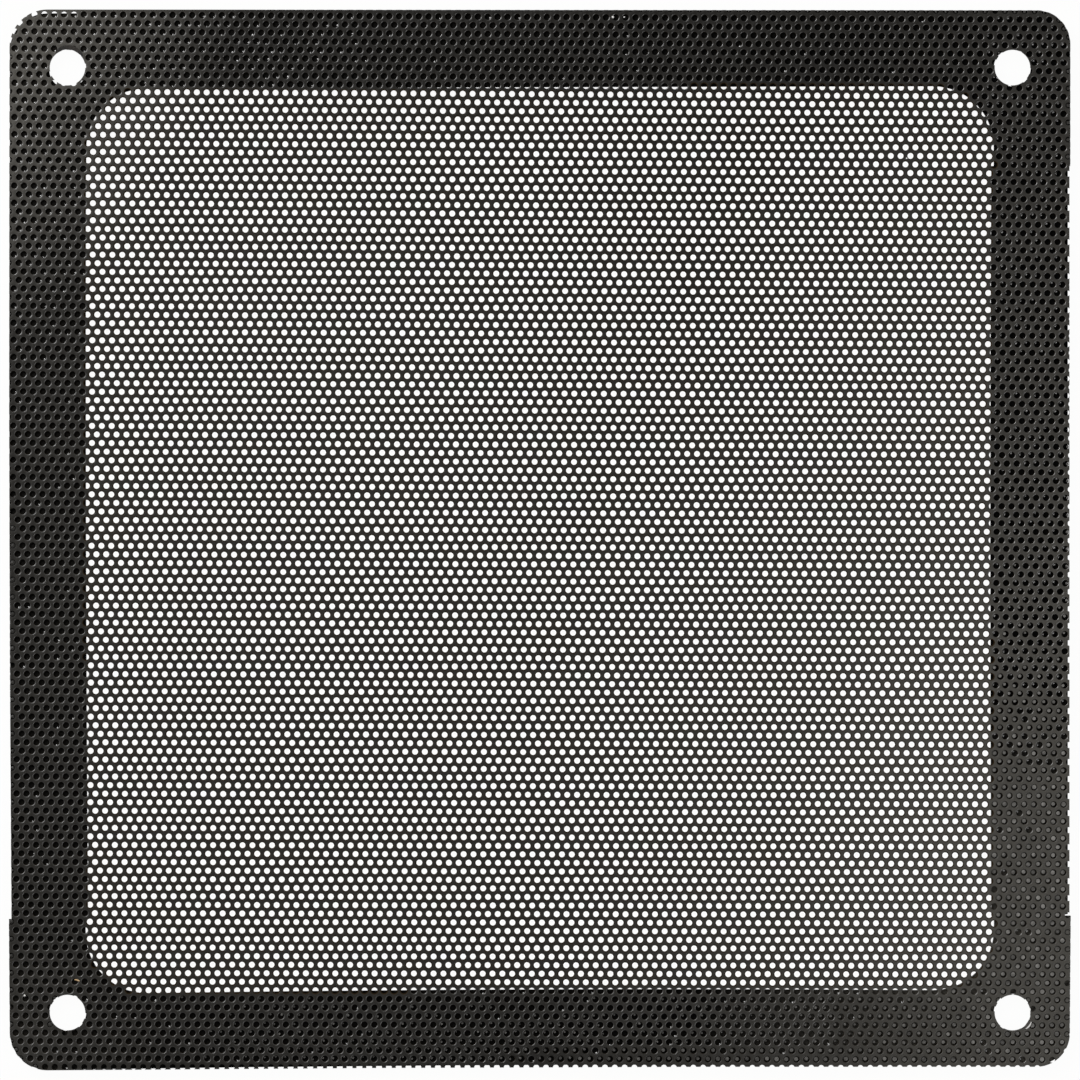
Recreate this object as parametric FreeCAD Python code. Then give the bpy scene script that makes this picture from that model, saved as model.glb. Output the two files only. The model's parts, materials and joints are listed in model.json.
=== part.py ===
import FreeCAD, Part
import math
import os

# Magnetic dust filter for a 140 mm computer fan: a perforated vinyl sheet with a border of four
# flat rubber magnets glued behind it. It lies on its magnets, with the sheet's front face up.
# Millimetres, +Z up. The origin is the middle of the back, between the four mounting holes.

# Mounting holes, on the square pattern of a 140 mm fan, a little wider in the magnets
mount_spacing = 124.5
mount_hole_diameter = 4.7
magnet_hole_clearance = 0.1
upper_left_hole_drop = 0.24

# Outline that the sheet and its magnets share, set out from the holes
side_margin = 7.62
end_margin = 7.65
left_corner_radius = 5.0
right_corner_radius = 4.45

# Thicknesses, the magnets below and the sheet on top
magnet_thickness = 1.0
sheet_thickness = 0.5

# Border: the width of the magnets and the round inner corners of the brackets
side_width = 10.05
upper_bar_width = 10.05
lower_bar_width = 9.8
window_corner_radius = 8.0

# Butt seams: how far each bracket's leg runs on past its round inner corner, and the chip off the
# end of the right strip, where its lower seam shows
upper_left_leg = 2.7
upper_right_leg = 2.55
lower_left_leg = 1.9
lower_right_leg = 1.9
seam_chip_length = 1.1
seam_chip_height = 0.24

# Hand fitting: the magnets are flexible, so each lies a little crooked
upper_bar_slope = 0.1
upper_bar_taper = 0.3
lower_bar_rise = 0.7
lower_bar_taper = 0.25
lower_bar_bow = 0.4
lower_bar_shift = 0.1
lower_leg_splay = 0.15
strip_bow = 0.13
left_strip_outset = 0.04
left_strip_lean = 0.28
right_strip_inset = 0.32
corner_trim_depth = 0.48
corner_trim_length = 8.8
corner_trim_ramp = 0.9

# Trim of the sheet against the magnets behind it
sheet_side_overhang = 0.2
sheet_bottom_overhang = 0.2

# Perforation: round holes on a 60 degree stagger, turned a little against the frame. The model
# has one larger opening for each group of real holes, so the open share stays the real one.
perforation_pitch = 1.296
perforation_diameter = 0.84
perforation_turn = -0.2
holes_per_opening_count = 36
opening_side_count = 8
opening_clearance = 0.4

half_width = mount_spacing / 2 + side_margin
half_height = mount_spacing / 2 + end_margin
magnet_hole_radius = mount_hole_diameter / 2 + magnet_hole_clearance
upper_reach = upper_bar_width + window_corner_radius
lower_reach = lower_bar_width + window_corner_radius
upper_left_seam = half_height - upper_reach - upper_bar_taper - upper_left_leg
upper_right_seam = half_height - upper_reach - upper_right_leg
lower_left_seam = lower_reach + lower_bar_taper + lower_left_leg - half_height
lower_right_seam = lower_reach + lower_bar_rise + lower_right_leg - half_height


def point(x, y):
    return FreeCAD.Vector(x, y, 0)


def side(start, end, bow):
    """One side of an outline, whose middle stands bow to the left of the run from start to end."""
    if bow == 0:
        return Part.LineSegment(start, end).toShape()
    run = end - start
    left = point(-run.y, run.x).normalize()
    return Part.Arc(start, (start + end) * 0.5 + left * bow, end).toShape()


def plate(outline, bottom, thickness):
    """A flat plate. Each entry of its outline is a corner and the bow of the side that follows."""
    starts = [corner for corner, bow in outline]
    ends = starts[1:] + starts[:1]
    bows = [bow for corner, bow in outline]
    flat = Part.Face(Part.Wire([side(start, end, bow) for start, end, bow in zip(starts, ends, bows)]))
    flat.translate(FreeCAD.Vector(0, 0, bottom))
    return flat.extrude(FreeCAD.Vector(0, 0, thickness))


def round_corners(solid, corners, radius):
    """Round the upright edges of a plate that stand on the given corners."""
    touching = 0.01
    upright = []
    for edge in solid.Edges:
        for corner in corners:
            if all(math.hypot(end.X - corner.x, end.Y - corner.y) < touching for end in edge.Vertexes):
                upright.append(edge)
    return solid.makeFillet(radius, upright)


def drill_mounts(solid, radius, rows):
    """Cut the mounting holes of the upper row, the lower row or both."""
    half = mount_spacing / 2
    through = magnet_thickness + sheet_thickness
    for row in rows:
        for x in (-half, half):
            solid = solid.cut(Part.makeCylinder(radius, through, point(x, row * half)))
    return solid


def upper_bracket():
    """The magnet along the top edge, with a leg down each side past its mounting hole. The hole at
    the left was punched twice, the second time a little lower, so it is a short slot."""
    left_top = point(-half_width, half_height - corner_trim_depth)
    trim_end = left_top + point(corner_trim_length, 0)
    right_top = point(half_width, half_height - upper_bar_slope)
    inner_right = point(half_width - side_width, half_height - upper_bar_width)
    inner_left = point(-half_width + side_width, half_height - upper_bar_width - upper_bar_taper)
    outline = [
        (left_top, 0),
        (point(-half_width, upper_left_seam), 0),
        (point(-half_width + side_width, upper_left_seam), 0),
        (inner_left, 0),
        (inner_right, 0),
        (point(half_width - side_width, upper_right_seam), 0),
        (point(half_width, upper_right_seam), 0),
        (right_top, 0),
        (trim_end + point(corner_trim_ramp, corner_trim_depth), 0),
        (trim_end, 0),
    ]
    bracket = plate(outline, 0, magnet_thickness)
    bracket = round_corners(bracket, [left_top], left_corner_radius)
    bracket = round_corners(bracket, [right_top], right_corner_radius)
    bracket = round_corners(bracket, [inner_left, inner_right], window_corner_radius)
    bracket = drill_mounts(bracket, magnet_hole_radius, [1])
    lower_end = point(-mount_spacing / 2, mount_spacing / 2 - upper_left_hole_drop)
    return bracket.cut(Part.makeCylinder(magnet_hole_radius, magnet_thickness, lower_end))


def lower_bracket_corners():
    """The four outer corners of the lower magnet, from its left leg's end round to its right one's."""
    left, right = -half_width - lower_bar_shift, half_width - lower_bar_shift
    return [
        point(left, lower_left_seam),
        point(left + lower_leg_splay, -half_height),
        point(right, -half_height + lower_bar_rise),
        point(right + lower_leg_splay, lower_right_seam),
    ]


def lower_bracket():
    """The magnet along the bottom edge: its bar is bowed towards the window and its legs splay."""
    left_end, left_bottom, right_bottom, right_end = lower_bracket_corners()
    across = point(side_width, 0)
    inner_left = left_bottom + point(side_width, lower_bar_width + lower_bar_taper)
    inner_right = right_bottom + point(-side_width, lower_bar_width)
    outline = [
        (left_end, 0),
        (left_bottom, lower_bar_bow),
        (right_bottom, 0),
        (right_end, 0),
        (right_end - across, 0),
        (inner_right, -lower_bar_bow),
        (inner_left, 0),
        (left_end + across, 0),
    ]
    bracket = plate(outline, 0, magnet_thickness)
    bracket = round_corners(bracket, [left_bottom], left_corner_radius)
    bracket = round_corners(bracket, [right_bottom], right_corner_radius)
    bracket = round_corners(bracket, [inner_left, inner_right], window_corner_radius)
    return drill_mounts(bracket, magnet_hole_radius, [-1])


def strip_corners(left, top, bottom, lean):
    """A side magnet's corners, butted between two brackets, with its lower end leaning to the right."""
    width = point(side_width, 0)
    top_left = point(left, top)
    bottom_left = point(left + lean, bottom)
    return [top_left, bottom_left, bottom_left + width, top_left + width]


def left_strip_corners():
    return strip_corners(-half_width - left_strip_outset, upper_left_seam, lower_left_seam, left_strip_lean)


def right_strip_corners():
    left = half_width - right_strip_inset - side_width
    return strip_corners(left, upper_right_seam, lower_right_seam, 0)


def strip(corners, right_side_bow):
    """A side magnet whose left side is bowed slightly to the left, and its right side by its own bow."""
    bows = [-strip_bow, 0, right_side_bow, 0]
    return plate(list(zip(corners, bows)), 0, magnet_thickness)


def right_strip():
    """The right side magnet, straight along its outer side, with a chip off its lower outer corner."""
    corners = right_strip_corners()
    corner = corners[2]
    chip_sides = [corner, corner + point(0, seam_chip_height), corner + point(-seam_chip_length, 0)]
    chip = plate([(end, 0) for end in chip_sides], 0, magnet_thickness)
    return strip(corners, 0).cut(chip)


def sheet_blank():
    """The vinyl sheet before it is perforated, trimmed along the outer edges of its magnets."""
    left_top, left_bottom = left_strip_corners()[:2]
    right_bottom, right_top = right_strip_corners()[2:]
    lower_left_end, lower_left, lower_right, lower_right_end = lower_bracket_corners()
    overhang = point(sheet_side_overhang, 0)
    drop = point(0, -sheet_bottom_overhang)
    top_left = point(-half_width, half_height)
    top_right = point(half_width, half_height - upper_bar_slope)
    outline = [
        (top_left, 0),
        (left_top, -strip_bow),
        (left_bottom, 0),
        (lower_left_end, 0),
        (lower_left, lower_bar_bow - sheet_bottom_overhang),
        (lower_right + drop, 0),
        (lower_right_end, 0),
        (right_bottom + overhang, 0),
        (right_top + overhang, 0),
        (point(half_width, upper_right_seam), 0),
        (top_right, 0),
    ]
    blank = plate(outline, magnet_thickness, sheet_thickness)
    blank = round_corners(blank, [top_left, lower_left], left_corner_radius)
    blank = round_corners(blank, [top_right, lower_right + drop], right_corner_radius)
    return drill_mounts(blank, mount_hole_diameter / 2, [1, -1])


def in_window(x, y, reach):
    """Whether an opening of this reach at x, y keeps clear of the magnets' inner edges."""
    inset = reach + opening_clearance
    side_limit = half_width - side_width - right_strip_inset - inset
    upper_limit = half_height - upper_bar_width - upper_bar_taper - inset
    lower_limit = half_height - lower_bar_width - lower_bar_rise - inset
    limit = upper_limit if y > 0 else lower_limit
    if abs(x) > side_limit or abs(y) > limit:
        return False
    corner = max(window_corner_radius - inset, 0)
    past_x = max(abs(x) - side_limit + corner, 0)
    past_y = max(abs(y) - limit + corner, 0)
    return math.hypot(past_x, past_y) <= corner or past_x * past_y == 0


def opening_centres(pitch, reach):
    """Centres of the staggered openings, row by row, that fall within the window."""
    turn = math.radians(perforation_turn)
    row_pitch = pitch * math.sin(math.radians(60))
    rows = math.ceil(half_height / row_pitch)
    columns = math.ceil(half_width / pitch) + 1
    centres = []
    for row in range(-rows, rows + 1):
        for column in range(-columns, columns + 1):
            along = (column + (row % 2) / 2) * pitch
            across = row * row_pitch
            x = along * math.cos(turn) - across * math.sin(turn)
            y = along * math.sin(turn) + across * math.cos(turn)
            if in_window(x, y, reach):
                centres.append(point(x, y))
    return centres


def opening_wire(centre, radius, height):
    """An equal-sided opening with a flat side up, level with the given height."""
    step = 2 * math.pi / opening_side_count
    ring = [FreeCAD.Vector(centre.x + radius * math.cos(step * (number + 0.5)),
                           centre.y + radius * math.sin(step * (number + 0.5)), height)
            for number in range(opening_side_count)]
    return Part.makePolygon(ring + ring[:1])


def perforated_sheet():
    """The whole sheet: its blank, pierced over the window with the staggered openings."""
    blank = sheet_blank()
    pitch = perforation_pitch * math.sqrt(holes_per_opening_count)
    area = math.pi * (perforation_diameter / 2) ** 2 * holes_per_opening_count
    radius = math.sqrt(2 * area / (opening_side_count * math.sin(2 * math.pi / opening_side_count)))
    back = [face for face in blank.Faces if face.normalAt(0, 0).z < -0.5][0]
    openings = [opening_wire(centre, radius, magnet_thickness) for centre in opening_centres(pitch, radius)]
    pierced = Part.Face([back.OuterWire] + [wire for wire in back.Wires if not wire.isSame(back.OuterWire)]
                        + openings)
    return pierced.extrude(FreeCAD.Vector(0, 0, sheet_thickness))


pieces = {
    "perforated_sheet": perforated_sheet(),
    "upper_magnet_bracket": upper_bracket(),
    "lower_magnet_bracket": lower_bracket(),
    "left_magnet_strip": strip(left_strip_corners(), strip_bow),
    "right_magnet_strip": right_strip(),
}

os.makedirs("parts", exist_ok=True)
for name, shape in pieces.items():
    shape.exportStep("parts/" + name + ".step")
    box = shape.BoundBox
    print(name, "solids", len(shape.Solids), "valid", shape.isValid(), "volume", round(shape.Volume, 1),
          "x", round(box.XMin, 2), round(box.XMax, 2), "y", round(box.YMin, 2), round(box.YMax, 2),
          "z", round(box.ZMin, 2), round(box.ZMax, 2))
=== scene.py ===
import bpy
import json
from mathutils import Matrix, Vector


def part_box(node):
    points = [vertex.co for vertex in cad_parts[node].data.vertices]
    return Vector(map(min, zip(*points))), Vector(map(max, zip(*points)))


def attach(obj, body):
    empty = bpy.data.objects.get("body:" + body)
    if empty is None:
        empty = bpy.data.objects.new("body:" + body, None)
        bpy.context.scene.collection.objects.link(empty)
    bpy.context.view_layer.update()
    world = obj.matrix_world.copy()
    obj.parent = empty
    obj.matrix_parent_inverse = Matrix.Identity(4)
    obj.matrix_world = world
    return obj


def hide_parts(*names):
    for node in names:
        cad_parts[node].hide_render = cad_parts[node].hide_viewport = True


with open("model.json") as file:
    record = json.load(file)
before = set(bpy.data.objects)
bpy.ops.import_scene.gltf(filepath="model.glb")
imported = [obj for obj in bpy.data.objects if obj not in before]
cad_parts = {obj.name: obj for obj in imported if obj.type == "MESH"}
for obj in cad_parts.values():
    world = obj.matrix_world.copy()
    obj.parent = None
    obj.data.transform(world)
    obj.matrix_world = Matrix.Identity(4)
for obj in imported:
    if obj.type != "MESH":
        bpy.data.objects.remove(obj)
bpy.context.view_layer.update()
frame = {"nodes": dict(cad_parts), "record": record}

import json
import math
import bpy
import numpy as np
from mathutils import kdtree
from mathutils.bvhtree import BVHTree
from mathutils.geometry import delaunay_2d_cdt


# Magnet border
# Four flat lengths of flexible magnet, rubber filled with brown ferrite powder, butted at the sides.
# They are slit and punched from sheet. Their fronts carry the black contact glue that holds the vinyl.
# There its colour is darker than the glue itself: painted shade for the floors of the blind holes.

magnet_names = ["upper_magnet_bracket", "lower_magnet_bracket", "left_magnet_strip", "right_magnet_strip"]
millimetre = 0.001
magnet_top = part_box("upper_magnet_bracket")[1].z / millimetre
# The front face, this deep, takes the glue's colour and its painted shade.
painted_shade_film = 0.03
rubber_colour = (0.014, 0.0115, 0.0095, 1)
ferrite_colour = (0.034, 0.026, 0.020, 1)
# Near-black painted shade for the glue on the fronts, darker than the glue's own grey.
painted_shade_glue_colour = (0.0018, 0.0016, 0.0013, 1)
# Near the glue's own dark grey, for patches that take less of the painted shade.
lighter_glue_colour = (0.0180, 0.0158, 0.0125, 1)
# Painted light: a paler colour for the floors in the lower right corner, in place of light that does not
# reach them.
painted_light_glue_colour = (0.075, 0.070, 0.060, 1)

# A patch has its full share within core millimetres of its place, and fades to none at the edge.
# Patches where the glue on the fronts takes less of the painted shade.
lighter_glue_patches = [{"place": (-200, 0), "core": 130, "edge": 270, "share": 0.27},
                 {"place": (-76, 76), "core": 12, "edge": 27, "share": 0.8},
                 {"place": (-76, -76), "core": 12, "edge": 27, "share": 1.0}]
# The corner whose floors take the painted light.
painted_light_corner = {"place": (72, -72), "core": 22, "edge": 52, "share": 1.0}


def new_material(name):
    """A node material with its nodes, its links and its Principled shader."""
    material = bpy.data.materials.new(name)
    material.use_nodes = True
    nodes = material.node_tree.nodes
    return material, nodes, material.node_tree.links, nodes["Principled BSDF"]


def grain(nodes, links, size, detail=2.0):
    """Noise over the object whose features are about size millimetres across."""
    place = nodes.new("ShaderNodeTexCoord")
    noise = nodes.new("ShaderNodeTexNoise")
    noise.inputs["Scale"].default_value = 1 / (size * millimetre)
    noise.inputs["Detail"].default_value = detail
    links.new(place.outputs["Object"], noise.inputs["Vector"])
    return noise.outputs["Fac"]


def spread(nodes, links, value, low, high, start=0.35, end=0.65):
    """The value between start and end, spread out to low and high."""
    spreader = nodes.new("ShaderNodeMapRange")
    spreader.inputs["From Min"].default_value = start
    spreader.inputs["From Max"].default_value = end
    spreader.inputs["To Min"].default_value = low
    spreader.inputs["To Max"].default_value = high
    links.new(value, spreader.inputs["Value"])
    return spreader.outputs["Result"]


def blended(nodes, links, factor, first, second):
    """A colour between two, by a factor. Each is a plain colour or comes from another node."""
    mix = nodes.new("ShaderNodeMix")
    mix.data_type = "RGBA"
    first_socket, second_socket, result_socket = mix.inputs[6], mix.inputs[7], mix.outputs[2]
    for socket, colour in ((first_socket, first), (second_socket, second)):
        if isinstance(colour, tuple):
            socket.default_value = colour
        else:
            links.new(colour, socket)
    links.new(factor, mix.inputs["Factor"])
    return result_socket


def amount_of(nodes, links, patch):
    """How much of a patch there is at each point, by the point's distance from the patch's place."""
    place = nodes.new("ShaderNodeTexCoord")
    distance = nodes.new("ShaderNodeVectorMath")
    distance.operation = "DISTANCE"
    distance.inputs[1].default_value = (*(value * millimetre for value in patch["place"]), 0)
    links.new(place.outputs["Object"], distance.inputs[0])
    return spread(nodes, links, distance.outputs["Value"], 0, patch["share"],
                  start=patch["edge"] * millimetre, end=patch["core"] * millimetre)


def patched(nodes, links, colour, patches, patch_colour):
    """A colour with another over it in patches."""
    for patch in patches:
        colour = blended(nodes, links, amount_of(nodes, links, patch), colour, patch_colour)
    return colour


def height_above_back(nodes, links):
    """How high a point lies over the magnets' backs, in metres."""
    place = nodes.new("ShaderNodeTexCoord")
    parts = nodes.new("ShaderNodeSeparateXYZ")
    links.new(place.outputs["Object"], parts.inputs["Vector"])
    return parts.outputs["Z"]


def roughen(nodes, links, shader, size, smooth, rough):
    """Roughness between two values, in clouds about size millimetres across."""
    links.new(spread(nodes, links, grain(nodes, links, size), smooth, rough), shader.inputs["Roughness"])


def relief(nodes, links, shader, size, detail, depth):
    """Bump of a depth in millimetres, whose features are about size millimetres across."""
    bump = nodes.new("ShaderNodeBump")
    bump.inputs["Strength"].default_value = 1.0
    bump.inputs["Distance"].default_value = depth * millimetre
    links.new(grain(nodes, links, size, detail), bump.inputs["Height"])
    links.new(bump.outputs["Normal"], shader.inputs["Normal"])


magnet_rubber, nodes, links, shader = new_material("magnet_rubber")
speckle = spread(nodes, links, grain(nodes, links, size=0.35, detail=4), 0, 1)
bare = blended(nodes, links, speckle, rubber_colour, ferrite_colour)
# The glue on the fronts: painted shade, eased in patches, and painted light in the lower right corner.
glue = patched(nodes, links, painted_shade_glue_colour, lighter_glue_patches, lighter_glue_colour)
glue = patched(nodes, links, glue, [painted_light_corner], painted_light_glue_colour)
# Only the front face, seen through the holes, takes the glue's painted shade; the sides and back stay
# bare rubber.
painted_shade_share = spread(nodes, links, height_above_back(nodes, links), 0, 1,
               start=(magnet_top - painted_shade_film) * millimetre, end=magnet_top * millimetre)
links.new(blended(nodes, links, painted_shade_share, bare, glue), shader.inputs["Base Color"])
roughen(nodes, links, shader, size=1.4, smooth=0.50, rough=0.75)
relief(nodes, links, shader, size=0.5, detail=3, depth=0.03)
shader.inputs["Specular IOR Level"].default_value = 0.08
for name in magnet_names:
    magnet = frame["nodes"][name].data
    magnet.materials.clear()
    magnet.materials.append(magnet_rubber)


# Perforated sheet
# Half a millimetre of black vinyl, punched all over on a 60 degree stagger and then cut to outline.
# The punch enters from the front and rounds the rim of each hole. The cut outline and the mounting
# holes run through whatever holes lie in their way. Laying it on stretched it a little out of square.

sheet_low, sheet_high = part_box("perforated_sheet")
sheet_bottom = sheet_low.z / millimetre
sheet_top = sheet_high.z / millimetre
hole_pitch = 1.2962
row_pitch = 1.1252
row_slip = 0.0022
stagger_turn = math.radians(-0.2)
middle_hole = (-0.121, 0.183)
side_stretch = 0.000021
end_shear = -0.000031
end_stretch = 0.000020
punch_wander = 0.007
punch_wear = 0.02
hole_radius = 0.40
collar_radius = 0.425
rim_radius = 0.53
rim_depth = 0.12
rim_clearance = 0.012
narrowest_web = 3 * rim_clearance
row_count = 63
column_count = 56
hole_sides = 11
band_count = 6
mount_sides = 56
fan_holes = frame["record"]["mounts"][0]["dims"]


def laid(along, across):
    """Places on the laid sheet of points given along and across the punched rows."""
    x = middle_hole[0] + along * math.cos(stagger_turn) - across * math.sin(stagger_turn)
    y = middle_hole[1] + along * math.sin(stagger_turn) + across * math.cos(stagger_turn)
    return x + side_stretch * x * y, y + end_shear * x * y + end_stretch * y * y


def unlaid(x, y):
    """The other way: how far along and across the punched rows places on the laid sheet are."""
    x, y = (x - side_stretch * x * y - middle_hole[0],
            y - end_shear * x * y - end_stretch * y * y - middle_hole[1])
    return (x * math.cos(stagger_turn) + y * math.sin(stagger_turn),
            y * math.cos(stagger_turn) - x * math.sin(stagger_turn))


row, column = np.mgrid[-row_count:row_count + 1, -column_count:column_count + 1]
hole_x, hole_y = laid((column + (row % 2) / 2) * hole_pitch + row * row_slip, row * row_pitch)
chance = np.random.default_rng(seed=7)
hole_x = hole_x + chance.uniform(-punch_wander, punch_wander, hole_x.shape)
hole_y = hole_y + chance.uniform(-punch_wander, punch_wander, hole_y.shape)
wall_radius = hole_radius * chance.uniform(1 - punch_wear, 1 + punch_wear, hole_x.shape)


def row_line(height):
    """Points on the line between two rows, half a pitch apart. The height is counted in rows."""
    run = np.arange(-2 * column_count, 2 * column_count + 1) * hole_pitch / 2
    return np.column_stack(laid(run, np.full(run.shape, height * row_pitch)))


def ring(x, y, radius, sides):
    """Corners of equal-sided rings, as an array of rings by corners by x and y."""
    angle = np.arange(sides) * 2 * math.pi / sides
    x, y, radius = (np.atleast_1d(value)[:, None] for value in (x, y, radius))
    return np.stack([x + radius * np.cos(angle), y + radius * np.sin(angle)], axis=2)


coordinate_digits = 4
gentle_turn = math.radians(25)
longest_bend = 3.0


def cut_outline():
    """The sheet's outline, read from the top face of its solid, with its round corners made finer."""
    solid = frame["nodes"]["perforated_sheet"].data
    corners = [tuple(round(value / millimetre, coordinate_digits) for value in vertex.co[:2])
               for vertex in solid.vertices]
    edges = []
    for face in solid.polygons:
        faces_up = face.normal.z > 0.5
        if faces_up:
            around = [corners[index] for index in face.vertices]
            edges += zip(around, around[1:] + around[:1])
    turned_round = {(end, start) for start, end in edges}
    border = {start: end for start, end in edges if (start, end) not in turned_round}
    first = min(border)
    outline = [first]
    while border[outline[-1]] != first:
        outline.append(border[outline[-1]])
    return rounded(np.array(outline))


def rounded(outline):
    """An outline whose short stretches are bent into smooth arcs, with the long ones left straight."""
    before, after = np.roll(outline, 1, axis=0), np.roll(outline, -1, axis=0)
    arriving = (outline - before) / np.linalg.norm(outline - before, axis=1)[:, None]
    leaving = (after - outline) / np.linalg.norm(after - outline, axis=1)[:, None]
    gentle = (arriving * leaving).sum(axis=1) > math.cos(gentle_turn)
    heading = arriving + leaving
    heading = heading / np.linalg.norm(heading, axis=1)[:, None]
    points = []
    for index, start in enumerate(outline):
        following = (index + 1) % len(outline)
        end = outline[following]
        length = np.linalg.norm(end - start)
        points.append(start)
        if length < longest_bend and gentle[index] and gentle[following]:
            for share in (0.25, 0.5, 0.75):
                bulge = heading[index] * (1 - share) - heading[following] * share
                straight = start + (end - start) * share
                points.append(straight + bulge * share * (1 - share) * length
                              - (end - start) * share * (1 - share) * (1 - 2 * share))
    return np.array(points)


def distance_to(outline, x, y):
    """Distance from points to an outline, and whether they lie inside it."""
    nearest = np.full(x.shape, np.inf)
    inside = np.zeros(x.shape, bool)
    for start, end in zip(outline, np.roll(outline, -1, axis=0)):
        run = end - start
        share = ((x - start[0]) * run[0] + (y - start[1]) * run[1]) / (run @ run)
        share = np.clip(share, 0, 1)
        gap = np.hypot(x - start[0] - share * run[0], y - start[1] - share * run[1])
        nearest = np.minimum(nearest, gap)
        if start[1] != end[1]:
            crosses = (y > min(start[1], end[1])) & (y <= max(start[1], end[1]))
            inside ^= crosses & (x < start[0] + run[0] * (y - start[1]) / run[1])
    return nearest, inside


outline = cut_outline()
half_x, half_y = fan_holes["spacing_x_mm"] / 2, fan_holes["spacing_y_mm"] / 2
mount_places = [(x, y) for x in (-half_x, half_x) for y in (-half_y, half_y)]
mount_radius = fan_holes["hole_r_mm"]


def room_at(x, y):
    """How far points lie from the sheet's outline and its mounting holes, below zero past them."""
    room, inside = distance_to(outline, x, y)
    room = np.where(inside, room, -room)
    for mount_x, mount_y in mount_places:
        room = np.minimum(room, np.hypot(x - mount_x, y - mount_y) - mount_radius)
    return room


edge_gap = room_at(hole_x, hole_y)
whole_hole = edge_gap > wall_radius + narrowest_web
cut_hole = (edge_gap > -wall_radius) & ~whole_hole
top_radius = np.where(whole_hole, np.minimum(rim_radius, edge_gap - rim_clearance), wall_radius)

probe_reach = 0.03
probe_height = 3.0


def magnet_surface():
    """The four magnets as one surface that a probe from above can meet."""
    corners, faces = [], []
    for name in magnet_names:
        magnet = frame["nodes"][name].data
        faces += [[index + len(corners) for index in face.vertices] for face in magnet.polygons]
        corners += [vertex.co.copy() for vertex in magnet.vertices]
    return BVHTree.FromPolygons(corners, faces)


magnets = magnet_surface()


def rests_on_magnet(x, y, reach):
    """Whether magnet lies below a point of the sheet and beside it on all four sides."""
    for side_x, side_y in ((0, 0), (1, 0), (-1, 0), (0, 1), (0, -1)):
        start = (x + side_x * reach, y + side_y * reach, probe_height)
        if magnets.ray_cast([value * millimetre for value in start], (0, 0, -1))[0] is None:
            return False
    return True


blind = np.zeros(hole_x.shape, bool)
blind[whole_hole] = [rests_on_magnet(x, y, probe_reach)
                     for x, y in zip(hole_x[whole_hole], hole_y[whole_hole])]


def rising(value, start, end):
    """How far a value has come from start to end, from 0 to 1."""
    return np.clip((value - start) / (end - start), 0, 1)


# Glue came up into most of the holes at the lower right, and into many along the bottom.
fullest_share = 0.97
lowest_share = 0.75
last_row_extra = 0.2
rim_covered = 0.3

right_side = rising(hole_x, 56, 60)
along_right = rising(-hole_y, 3, 34)
bottom_side = rising(-hole_y, 57, 60)
lowest_rows = rising(-hole_y, 60, 65) * rising(hole_x, -48, -34)
last_row = rising(-hole_y, 66.3, 67.5)
glue_share = fullest_share * np.maximum(right_side * along_right, bottom_side * rising(hole_x, 10, 42))
glue_share = np.maximum(glue_share, lowest_rows * (lowest_share + last_row_extra * last_row))
glue_draw = chance.random(hole_x.shape)
glue_filled = blind & (glue_draw < glue_share)
swelling = np.maximum(right_side * along_right, bottom_side * rising(hole_x, 30, 60))
swelling = np.maximum(swelling, last_row * rising(hole_x, -20, 30))

face_slot, rim_slot, wall_slot = 0, 1, 2
rim_finish = np.where(blind, rim_slot, wall_slot)
rim_finish[glue_filled & (swelling > rim_covered)] = face_slot


def holes_round(x, y):
    """The four holes round each point, one after the other, as places in the arrays of holes."""
    along, across = unlaid(x, y)
    row_below = np.floor(across / row_pitch).astype(int)
    for rows in (row_below, row_below + 1):
        column_before = np.floor((along - rows * row_slip) / hole_pitch - (rows % 2) / 2).astype(int)
        for columns in (column_before, column_before + 1):
            yield (np.clip(rows + row_count, 0, 2 * row_count),
                   np.clip(columns + column_count, 0, 2 * column_count))


def open_at(x, y, radii):
    """Whether points fall in a perforation of the given radii, or in a mounting hole."""
    is_open = np.zeros(x.shape, bool)
    for place in holes_round(x, y):
        off_x, off_y = x - hole_x[place], y - hole_y[place]
        turn = np.mod(np.arctan2(off_y, off_x), 2 * math.pi / hole_sides) - math.pi / hole_sides
        is_open |= np.hypot(off_x, off_y) * np.cos(turn) < radii[place] * math.cos(math.pi / hole_sides)
    for mount_x, mount_y in mount_places:
        is_open |= np.hypot(x - mount_x, y - mount_y) < mount_radius * math.cos(math.pi / mount_sides)
    return is_open


triangles_within = 1
merge_distance = 1e-6


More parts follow.
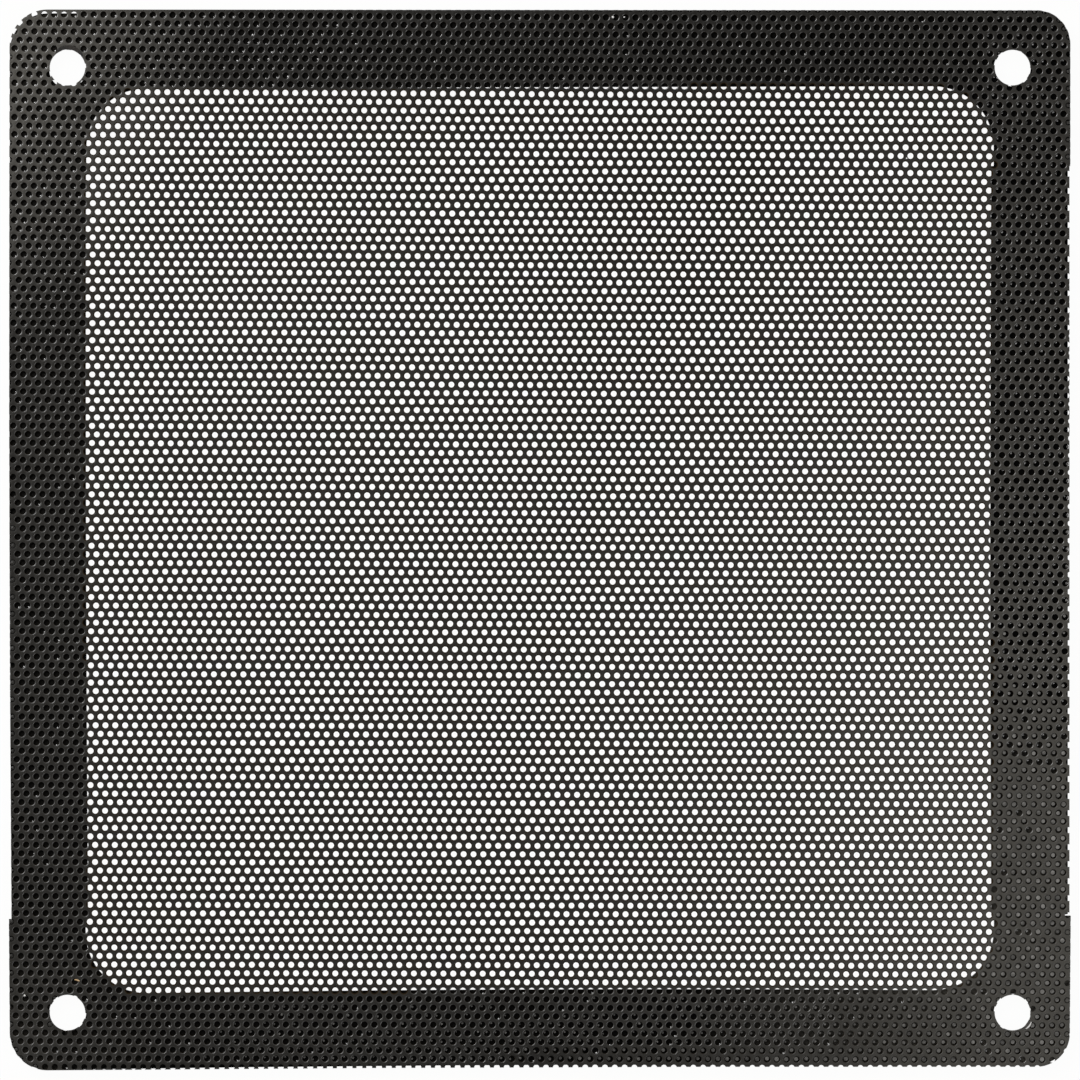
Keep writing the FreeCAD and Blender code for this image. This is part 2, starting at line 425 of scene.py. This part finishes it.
def sheet_face(lower, upper, radii):
    """One face of a band of the sheet, cut into triangles: its points, its triangles, and where the
    corners of its whole holes stand among the points."""
    in_band = (row > lower) & (row < upper)
    whole = in_band & whole_hole
    cut = in_band & cut_hole
    rings = [ring(hole_x[whole], hole_y[whole], radii[whole], hole_sides),
             ring(hole_x[cut], hole_y[cut], radii[cut], hole_sides)]
    mount_rings = [ring(x, y, mount_radius, mount_sides) for x, y in mount_places]
    loops = [loop for group in rings + mount_rings for loop in group] + [outline]
    lines = [row_line(lower), row_line(upper)]
    points = np.concatenate(loops + lines)
    edges = []
    start = 0
    for loop in loops:
        turn = np.arange(start, start + len(loop))
        edges.append(np.column_stack([turn, np.roll(turn, -1)]))
        start += len(loop)
    for line in lines:
        turn = np.arange(start, start + len(line))
        edges.append(np.column_stack([turn[:-1], turn[1:]]))
        start += len(line)
    edges = np.concatenate(edges)
    made = delaunay_2d_cdt(points.tolist(), edges.tolist(), [], triangles_within, merge_distance)
    corners, triangles, sources_of = np.array(made[0], float), np.array(made[2]), made[3]
    middle = corners[triangles].mean(axis=1)
    height = unlaid(middle[:, 0], middle[:, 1])[1] / row_pitch
    kept = (height > lower) & (height < upper)
    kept &= ~open_at(middle[:, 0], middle[:, 1], radii)
    kept[kept] = distance_to(outline, middle[kept, 0], middle[kept, 1])[1]
    ring_corners = np.full(len(points), -1)
    for index, sources in enumerate(sources_of):
        ring_corners[sources] = index
    count = int(whole.sum())
    return corners, triangles[kept], ring_corners[:count * hole_sides].reshape(count, hole_sides)


def border_edges(triangles):
    """The edges of a face that have a triangle on one side only, in that triangle's direction."""
    starts = triangles.ravel()
    ends = triangles[:, [1, 2, 0]].ravel()
    size = triangles.max() + 1
    alone = ~np.isin(starts * size + ends, ends * size + starts)
    return starts[alone], ends[alone]


def skirt(upper_rings, lower_rings):
    """Triangles from each ring down to the ring below it, two a side."""
    upper_next, lower_next = np.roll(upper_rings, -1, axis=1), np.roll(lower_rings, -1, axis=1)
    first = np.stack([upper_rings, upper_next, lower_rings], axis=2).reshape(-1, 3)
    second = np.stack([upper_next, lower_next, lower_rings], axis=2).reshape(-1, 3)
    return np.concatenate([first, second])


def walls_below(top, top_faces, top_rings, bottom, bottom_start):
    """Walls below the cut edges of the top face: their triangles, and the way that each one faces."""
    starts, ends = border_edges(top_faces)
    rims = np.isin(starts, top_rings) & np.isin(ends, top_rings)
    starts, ends = starts[~rims], ends[~rims]
    below = kdtree.KDTree(len(bottom))
    for index, (x, y) in enumerate(bottom):
        below.insert((x, y, 0), index + bottom_start)
    below.balance()
    under = {index: below.find((*top[index], 0))[1] for index in set(starts) | set(ends)}
    under_starts = np.array([under[index] for index in starts])
    under_ends = np.array([under[index] for index in ends])
    walls = np.concatenate([np.column_stack([ends, starts, under_starts]),
                            np.column_stack([ends, under_starts, under_ends])])
    run = top[ends] - top[starts]
    outward = np.column_stack([run[:, 1], -run[:, 0], np.zeros(len(run))])
    outward /= np.linalg.norm(outward, axis=1)[:, None]
    return walls, np.concatenate([outward, outward])


# The webs between holes lean over a little towards each hole, and the punched rims much more. Edges
# sharper than the last of these angles keep the two sides' normals apart.
web_tilt = math.radians(9)
web_roundness = 0.10
steepest_lean = 0.5
rim_tilt = math.radians(48)
sharp_edge = math.radians(70)


def top_normals(top):
    """Normals of the top face, which leans over towards the holes round each point."""
    x, y = top.T
    lean = np.zeros(top.shape)
    for place in holes_round(x, y):
        way = np.column_stack([hole_x[place] - x, hole_y[place] - y])
        distance = np.linalg.norm(way, axis=1)
        nearness = np.exp(-np.maximum(distance - top_radius[place], 0) / web_roundness)
        nearness[~(whole_hole | cut_hole)[place]] = 0
        lean += way * (math.sin(web_tilt) * nearness / distance)[:, None]
    upright = np.sqrt(1 - np.minimum((lean ** 2).sum(axis=1), steepest_lean))
    return np.column_stack([lean, upright])


def new_piece(name, points, faces):
    """A piece of the scene from points in millimetres and faces."""
    mesh = bpy.data.meshes.new(name)
    mesh.from_pydata((points * millimetre).tolist(), [], faces)
    piece = bpy.data.objects.new(name, mesh)
    bpy.context.scene.collection.objects.link(piece)
    return piece


def sheet_band(name, lower, upper):
    """A closed band of the sheet between two lines along its rows, with all its holes."""
    top, top_faces, top_rings = sheet_face(lower, upper, top_radius)
    bottom, bottom_faces, bottom_rings = sheet_face(lower, upper, wall_radius)
    whole = (row > lower) & (row < upper) & whole_hole
    collar_size = wall_radius[whole] * collar_radius / hole_radius
    collar = ring(hole_x[whole], hole_y[whole], collar_size, hole_sides).reshape(-1, 2)
    collar_rings = np.arange(len(collar)).reshape(-1, hole_sides) + len(top)
    bottom_start = len(top) + len(collar)
    bottom_faces = bottom_faces + bottom_start
    bottom_rings = bottom_rings + bottom_start
    points = np.concatenate([
        np.column_stack([top, np.full(len(top), sheet_top)]),
        np.column_stack([collar, np.full(len(collar), sheet_top - rim_depth)]),
        np.column_stack([bottom, np.full(len(bottom), sheet_bottom)]),
    ])
    hole_walls = np.concatenate([skirt(top_rings, collar_rings), skirt(collar_rings, bottom_rings)])
    cut_walls, outward = walls_below(top, top_faces, top_rings, bottom, bottom_start)

    up = np.array([0, 0, 1.0])
    centre = np.zeros(len(top_rings))
    inward = -ring(centre, centre, centre + 1, hole_sides)
    inward = np.concatenate([inward.reshape(-1, 2), np.zeros((len(collar), 1))], axis=1)
    point_normals = np.tile(up, (len(points), 1))
    point_normals[:len(top)] = top_normals(top)
    point_normals[collar_rings.ravel()] = inward * math.sin(rim_tilt) + up * math.cos(rim_tilt)
    point_normals[bottom_rings.ravel()] = inward
    faces = np.concatenate([top_faces, hole_walls, bottom_faces[:, ::-1], cut_walls])
    normals = np.concatenate([
        point_normals[np.concatenate([top_faces, hole_walls])].reshape(-1, 3),
        np.tile(-up, (3 * len(bottom_faces), 1)),
        np.repeat(outward, 3, axis=0),
    ])
    finish = np.full(len(faces), face_slot, np.int32)
    rim_end = len(top_faces) + len(hole_walls) // 2
    wall_end = len(top_faces) + len(hole_walls)
    finish[len(top_faces):rim_end] = np.tile(np.repeat(rim_finish[whole], hole_sides), 2)
    finish[rim_end:wall_end] = wall_slot

    used, renumbered = np.unique(faces, return_inverse=True)
    band = new_piece(name, points[used], renumbered.reshape(-1, 3).tolist())
    mesh = band.data
    mesh.shade_smooth()
    mesh.set_sharp_from_angle(angle=sharp_edge)
    stored = mesh.attributes.new("custom_normal", "FLOAT_VECTOR", "CORNER")
    stored.data.foreach_set("vector", normals.astype(np.float32).ravel())
    mesh.polygons.foreach_set("material_index", finish)
    return band


vinyl_dark = (0.0088, 0.0077, 0.0059, 1)
vinyl_light = (0.0115, 0.0101, 0.0078, 1)
wall_dark = (0.0210, 0.0125, 0.0045, 1)
wall_light = (0.0310, 0.0190, 0.0075, 1)
# A paler grey laid on the vinyl as painted sheen, in place of the windows' reflection.
painted_sheen_colour = (0.080, 0.075, 0.065, 1)
painted_sheen_patches = [{"place": (-116, 90), "core": 56, "edge": 79, "share": 0.88},
                 {"place": (-43, -15), "core": 46, "edge": 80, "share": 0.10},
                 {"place": (180, -52), "core": 75, "edge": 183, "share": 1.0},
                 {"place": (88, -40), "core": 34, "edge": 55, "share": 0.47},
                 {"place": (-76, -76), "core": 14, "edge": 26, "share": 0.2}]
rubbed_dull = {"place": (-80, -100), "core": 40, "edge": 165, "share": 0.12}


def with_painted_sheen(nodes, links, colour):
    """A colour lightened by painted sheen, most at the upper left corner and at the lower right."""
    return patched(nodes, links, colour, painted_sheen_patches, painted_sheen_colour)


black_vinyl, nodes, links, shader = new_material("black_vinyl")
clouds = spread(nodes, links, grain(nodes, links, size=9, detail=3), 0, 1)
vinyl = blended(nodes, links, clouds, vinyl_dark, vinyl_light)
# The vinyl's clouded colour, with the painted sheen over it.
links.new(with_painted_sheen(nodes, links, vinyl), shader.inputs["Base Color"])
roughen(nodes, links, shader, size=0.8, smooth=0.42, rough=0.52)
relief(nodes, links, shader, size=0.16, detail=2, depth=0.012)
shader.inputs["Specular IOR Level"].default_value = 0.35

punched_rim, nodes, links, shader = new_material("punched_rim")
# The rims take the same painted sheen.
links.new(with_painted_sheen(nodes, links, vinyl_dark), shader.inputs["Base Color"])
dullness = nodes.new("ShaderNodeMath")
polish = spread(nodes, links, grain(nodes, links, size=1.1), low=0.27, high=0.43)
links.new(polish, dullness.inputs[0])
links.new(amount_of(nodes, links, rubbed_dull), dullness.inputs[1])
links.new(dullness.outputs["Value"], shader.inputs["Roughness"])
shader.inputs["Specular IOR Level"].default_value = 1.0

punched_wall, nodes, links, shader = new_material("punched_wall")
scrape = spread(nodes, links, grain(nodes, links, size=0.3), 0, 1)
links.new(blended(nodes, links, scrape, wall_dark, wall_light), shader.inputs["Base Color"])
shader.inputs["Roughness"].default_value = 0.8
shader.inputs["Specular IOR Level"].default_value = 0.05

band_lines = [round(index * (2 * row_count - 1) / band_count) - row_count + 0.5
              for index in range(band_count + 1)]
for index in range(band_count):
    band = sheet_band(f"vinyl_sheet_{index + 1}", band_lines[index], band_lines[index + 1])
    for material in (black_vinyl, punched_rim, punched_wall):
        band.data.materials.append(material)
    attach(band, "root")
    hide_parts("perforated_sheet")


# Glue in the holes
# Contact glue that rose from the magnets when the vinyl was pressed on. Along the lower right it nearly
# fills the blind holes as dull domes, and elsewhere it stands in some as small wet beads beside the
# walls. It also fills what is left of the holes that the outline cuts.

lump_sides = 8
slope_step = 0.02
pocket_clearance = 0.04
smallest_pocket = 0.1
pockets_filled = 0.95
ledge_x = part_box("right_magnet_strip")[1].x / millimetre
ledge_half_length = 49
ledge_overhang = 0.02
ledge_reach = 0.36
ledge_size = 0.17


def spots_in(holes, heading, radius, rise, bite):
    """Spots for lumps in holes, each pushed along its heading until it bites so far into the wall."""
    push = wall_radius[holes] - radius + bite
    x = hole_x[holes] + push * np.cos(heading)
    y = hole_y[holes] + push * np.sin(heading)
    spots = np.column_stack([x, y, radius, rise, heading])
    return spots[[rests_on_magnet(*spot[:3]) for spot in spots]]


swollen = swelling[glue_filled]
many = swollen.shape
domes = spots_in(glue_filled,
                 heading=math.radians(142) + chance.normal(0, 0.4, many),
                 radius=0.17 + 0.17 * swollen + chance.uniform(-0.04, 0.03, many),
                 rise=0.34 + 0.11 * swollen + chance.uniform(-0.08, 0.04, many),
                 bite=0.03)

unfilled = blind & ~glue_filled
upper_left = rising(hole_y - hole_x, 84, 112)
beaded = unfilled & (right_side < 0.5) & (glue_draw < glue_share + 0.05 + 0.60 * upper_left)
many = (beaded.sum(),)
beads = spots_in(beaded,
                 heading=math.radians(-50) + chance.normal(0, 0.3, many),
                 radius=chance.uniform(0.13, 0.17, many),
                 rise=chance.uniform(0.44, 0.48, many),
                 bite=0.11)

pipped = unfilled & (right_side >= 0.5) & (glue_draw < glue_share + 0.50)
many = (pipped.sum(),)
pips = spots_in(pipped,
                heading=math.radians(140) + chance.normal(0, 0.4, many),
                radius=chance.uniform(0.13, 0.19, many),
                rise=chance.uniform(0.34, 0.46, many),
                bite=0.04)


def cut_pockets():
    """What is left of the cut holes: middles and radii of the largest discs that they hold."""
    x, y, gap, wall = hole_x[cut_hole], hole_y[cut_hole], edge_gap[cut_hole], wall_radius[cut_hole]
    slope_x = room_at(x + slope_step, y) - room_at(x - slope_step, y)
    slope_y = room_at(x, y + slope_step) - room_at(x, y - slope_step)
    steepness = np.hypot(slope_x, slope_y)
    inward = (wall - gap) / 2
    return np.column_stack([x + inward * slope_x / steepness, y + inward * slope_y / steepness,
                            (wall + gap) / 2 - pocket_clearance])


pockets = np.array([pocket for pocket in cut_pockets()
                    if pocket[2] > smallest_pocket and rests_on_magnet(*pocket)])
pockets = pockets[chance.random(len(pockets)) < pockets_filled]
fillings = np.column_stack([pockets, chance.uniform(0.32, 0.46, len(pockets)), 0 * pockets[:, 0]])

# Glue also stands at the right strip's outer edge, in the holes that reach over it.
on_ledge = blind & (hole_x + hole_radius > ledge_x + ledge_overhang) & (hole_x < ledge_x)
on_ledge &= np.abs(hole_y) < ledge_half_length
many = on_ledge.sum()
ledge_spots = np.column_stack([hole_x[on_ledge] + ledge_reach - ledge_size, hole_y[on_ledge],
                               np.full(many, ledge_size), chance.uniform(0.2, 0.4, many),
                               np.zeros(many)])


def lumps(name, material, spots, floor, shoulder, lean=0, breadth=1.0):
    """Faceted lumps on a floor. Each spot is x, y, radius, rise and the heading its peak leans in. The
    shoulder is how far out and how far up, as shares, its ring of middle corners stands. The breadth
    stretches a lump across its heading."""
    x, y, radius, rise, heading = spots.T[:, :, None]
    turn = (np.arange(lump_sides) + 0.5) * 2 * math.pi / lump_sides
    ahead, aside = radius * np.cos(turn), breadth * radius * np.sin(turn)
    foot = np.stack([x + ahead * np.cos(heading) - aside * np.sin(heading),
                     y + ahead * np.sin(heading) + aside * np.cos(heading), floor + 0 * ahead], axis=2)
    peak = np.stack([x + lean * radius * np.cos(heading), y + lean * radius * np.sin(heading),
                     floor + rise], axis=2)
    ring_out = peak + (foot - peak) * shoulder[0]
    ring_out[:, :, 2] = floor + rise * shoulder[1]
    points = np.concatenate([foot, ring_out, peak], axis=1).reshape(-1, 3)
    faces = []
    for lump in range(len(spots)):
        foot_start = lump * (2 * lump_sides + 1)
        ring_start = foot_start + lump_sides
        peak_corner = ring_start + lump_sides
        faces.append([foot_start + side for side in reversed(range(lump_sides))])
        for side in range(lump_sides):
            after = (side + 1) % lump_sides
            faces.append([foot_start + side, foot_start + after, ring_start + after, ring_start + side])
            faces.append([ring_start + side, ring_start + after, peak_corner])
    piece = new_piece(name, points, faces)
    piece.data.materials.append(material)
    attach(piece, "root")


def coat(nodes, links, shader, colour, smooth, rough, depth):
    """The colour of a lump or a mark, its roughness between two values, and a fine bump of a depth."""
    links.new(colour, shader.inputs["Base Color"])
    roughen(nodes, links, shader, size=0.5, smooth=smooth, rough=rough)
    relief(nodes, links, shader, size=0.2, detail=2, depth=depth)


def cloudy(name, dark, light, smooth, rough, gloss=0.5):
    """A material clouded between two colours, with its roughness between two values."""
    material, nodes, links, shader = new_material(name)
    clouds = spread(nodes, links, grain(nodes, links, size=1.6), 0, 1)
    colour = blended(nodes, links, clouds, dark, light)
    coat(nodes, links, shader, colour, smooth, rough, depth=0.015)
    shader.inputs["Specular IOR Level"].default_value = gloss
    return material


grey_dome_dark = (0.035, 0.033, 0.030, 1)
grey_dome_light = (0.125, 0.120, 0.110, 1)
pale_dome_dark = (0.070, 0.067, 0.061, 1)
pale_dome_light = (0.240, 0.232, 0.216, 1)
pale_domes = {"place": (90, -30), "core": 32, "edge": 66, "share": 1}
wet_dark = (0.020, 0.019, 0.017, 1)
wet_light = (0.090, 0.086, 0.080, 1)

dull_glue, nodes, links, shader = new_material("dull_glue")
clouds = spread(nodes, links, grain(nodes, links, size=1.6), 0, 1)
grey_glue = blended(nodes, links, clouds, grey_dome_dark, grey_dome_light)
pale_glue = blended(nodes, links, clouds, pale_dome_dark, pale_dome_light)
dome_colour = blended(nodes, links, amount_of(nodes, links, pale_domes), grey_glue, pale_glue)
coat(nodes, links, shader, dome_colour, smooth=0.35, rough=0.6, depth=0.02)

edge_glue, nodes, links, shader = new_material("edge_glue")
# The fillings take the vinyl's colour with its painted sheen.
coat(nodes, links, shader, with_painted_sheen(nodes, links, vinyl_light), smooth=0.4, rough=0.6, depth=0.03)

wet_glue = cloudy("wet_glue", wet_dark, wet_light, smooth=0.10, rough=0.22, gloss=1.0)

lumps("glue_domes", dull_glue, domes, magnet_top, shoulder=(0.85, 0.88))
lumps("glue_beads", wet_glue, beads, magnet_top,
      shoulder=(0.75, 0.8), lean=0.6, breadth=1.3)
lumps("glue_pips", wet_glue, pips, magnet_top,
      shoulder=(0.75, 0.8), lean=0.6, breadth=1.5)
lumps("glue_fillings", edge_glue, fillings, magnet_top, shoulder=(0.9, 0.85))
lumps("glue_ledges", dull_glue, ledge_spots, magnet_top,
      shoulder=(0.8, 0.7), breadth=1.4)


# Marks on the sheet
# A dark crescent of painted shade where the sheet is pressed down round the upper left mounting hole, a
# white strip of painted light through a slit beside the lower right one, a small golden crescent whose
# brightness is a painted glint by the lower left one, and a few specks of white dust.

arc_steps = 25
arc_tip = 0.04
mark_height = 0.03
# Painted shade of the sheet pressed down round the upper left hole.
dent_shade_dark = (0.0030, 0.0027, 0.0022, 1)
dent_shade_light = (0.0120, 0.0080, 0.0045, 1)
# White for the painted light through a slit beside the lower right hole, also the colour of the dust
# specks.
slit_light_and_dust_dark = (0.70, 0.69, 0.66, 1)
slit_light_and_dust_light = (0.80, 0.79, 0.77, 1)
# Bright golden colour, a painted glint on a small fleck.
glint_dark = (0.62, 0.42, 0.22, 1)
glint_light = (0.80, 0.66, 0.46, 1)
specks = [(-67.9, -60.0, 0.15), (48.3, 50.3, 0.11), (9.6, 68.9, 0.17), (11.1, 68.9, 0.11)]


def arc_patch(name, material, hole, radius, width, start, end):
    """A thin raised crescent beside a mounting hole, from one heading in degrees round to another."""
    turn = np.radians(np.linspace(start, end, arc_steps))
    swell = np.sqrt(np.sin(np.linspace(arc_tip, 1 - arc_tip, arc_steps) * math.pi))
    inner = radius + 0 * swell
    outer = radius + width * swell
    edges = [(inner, sheet_top), (outer, sheet_top), (outer, sheet_top + mark_height),
             (inner, sheet_top + mark_height)]
    points = np.stack([np.stack([hole[0] + reach * np.cos(turn), hole[1] + reach * np.sin(turn),
                                 height + 0 * turn], axis=1) for reach, height in edges], axis=1)
    faces = [[0, 1, 2, 3], [4 * arc_steps - 1 - corner for corner in range(4)]]
    for step in range(arc_steps - 1):
        here, beyond = 4 * step, 4 * step + 4
        for corner in range(4):
            after = (corner + 1) % 4
            faces.append([here + after, here + corner, beyond + corner, beyond + after])
    piece = new_piece(name, points.reshape(-1, 3), faces)
    piece.data.materials.append(material)
    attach(piece, "root")


dent_painted_shade = cloudy("dent_painted_shade", dent_shade_dark, dent_shade_light, smooth=0.45, rough=0.6)
slit_light_and_dust = cloudy("slit_light_and_dust", slit_light_and_dust_dark, slit_light_and_dust_light, smooth=0.5, rough=0.7)
painted_glint = cloudy("painted_glint", glint_dark, glint_light, smooth=0.3, rough=0.5)
# The painted shade round the upper left hole.
arc_patch("dent_shade_upper_left", dent_painted_shade, hole=(-half_x, half_y),
          radius=mount_radius + 0.02, width=0.58, start=38, end=128)
# Painted light through a slit beside the lower right hole.
arc_patch("slit_light_lower_right", slit_light_and_dust, hole=(half_x, -half_y),
          radius=mount_radius + 0.36, width=0.19, start=-51, end=-26)
# The painted glint by the lower left hole.
arc_patch("glint_lower_left", painted_glint, hole=(-half_x, -half_y),
          radius=4.40, width=0.18, start=69, end=78)
speck_spots = np.array([(x, y, size, 0.5 * size, 0) for x, y, size in specks])
lumps("dust_specks", slit_light_and_dust, speck_spots, sheet_top, shoulder=(0.7, 0.6))


# Floor, light and camera
# A white table under the filter, a soft window to the upper left and a weaker one to the lower right,
# and a camera straight above.

table_size = 3.0
table_gap = 0.00003
table_glow = 0.97
room_light = 0.12

bpy.ops.mesh.primitive_plane_add(size=table_size, location=(0, 0, -table_gap))
table = bpy.context.object
table.name = "table"
white_paper, nodes, links, shader = new_material("white_paper")
shader.inputs["Base Color"].default_value = (0.8, 0.8, 0.795, 1)
shader.inputs["Roughness"].default_value = 0.9
shader.inputs["Specular IOR Level"].default_value = 0.0
glow = nodes.new("ShaderNodeEmission")
glow.inputs["Color"].default_value = (1, 1, 0.997, 1)
rays = nodes.new("ShaderNodeLightPath")
seen = nodes.new("ShaderNodeMath")
seen.operation = "MAXIMUM"
links.new(rays.outputs["Is Camera Ray"], seen.inputs[0])
links.new(rays.outputs["Is Glossy Ray"], seen.inputs[1])
links.new(seen.outputs["Value"], glow.inputs["Strength"])
both = nodes.new("ShaderNodeMixShader")
both.inputs["Fac"].default_value = table_glow
links.new(shader.outputs["BSDF"], both.inputs[1])
links.new(glow.outputs["Emission"], both.inputs[2])
links.new(both.outputs["Shader"], nodes["Material Output"].inputs["Surface"])
table.data.materials.append(white_paper)

world = bpy.data.worlds.new("studio")
bpy.context.scene.world = world
world.use_nodes = True
background = world.node_tree.nodes["Background"]
background.inputs["Color"].default_value = (1, 1, 1, 1)
background.inputs["Strength"].default_value = room_light


def window_light(name, place, size, power):
    """A square soft light at a place, facing the filter's middle."""
    data = bpy.data.lights.new(name, "AREA")
    data.size = size
    data.energy = power
    light = bpy.data.objects.new(name, data)
    light.location = place
    light.rotation_euler = (-light.location).to_track_quat("-Z", "Y").to_euler()
    bpy.context.scene.collection.objects.link(light)


window_light("key_window", place=(-0.34, 0.34, 0.36), size=0.36, power=3.7)
window_light("fill_window", place=(0.34, -0.34, 0.42), size=0.40, power=1.3)

photo_width = 0.14227
photo_middle = (0, 0.0000132)
camera_height = 1.5
sensor_width = 36
camera_data = bpy.data.cameras.new("camera")
camera_data.sensor_width = sensor_width
camera_data.lens = sensor_width * (camera_height - sheet_high.z) / photo_width
camera = bpy.data.objects.new("camera", camera_data)
camera.location = (*photo_middle, camera_height)
bpy.context.scene.collection.objects.link(camera)
bpy.context.scene.camera = camera
bpy.context.scene.view_settings.view_transform = "Standard"
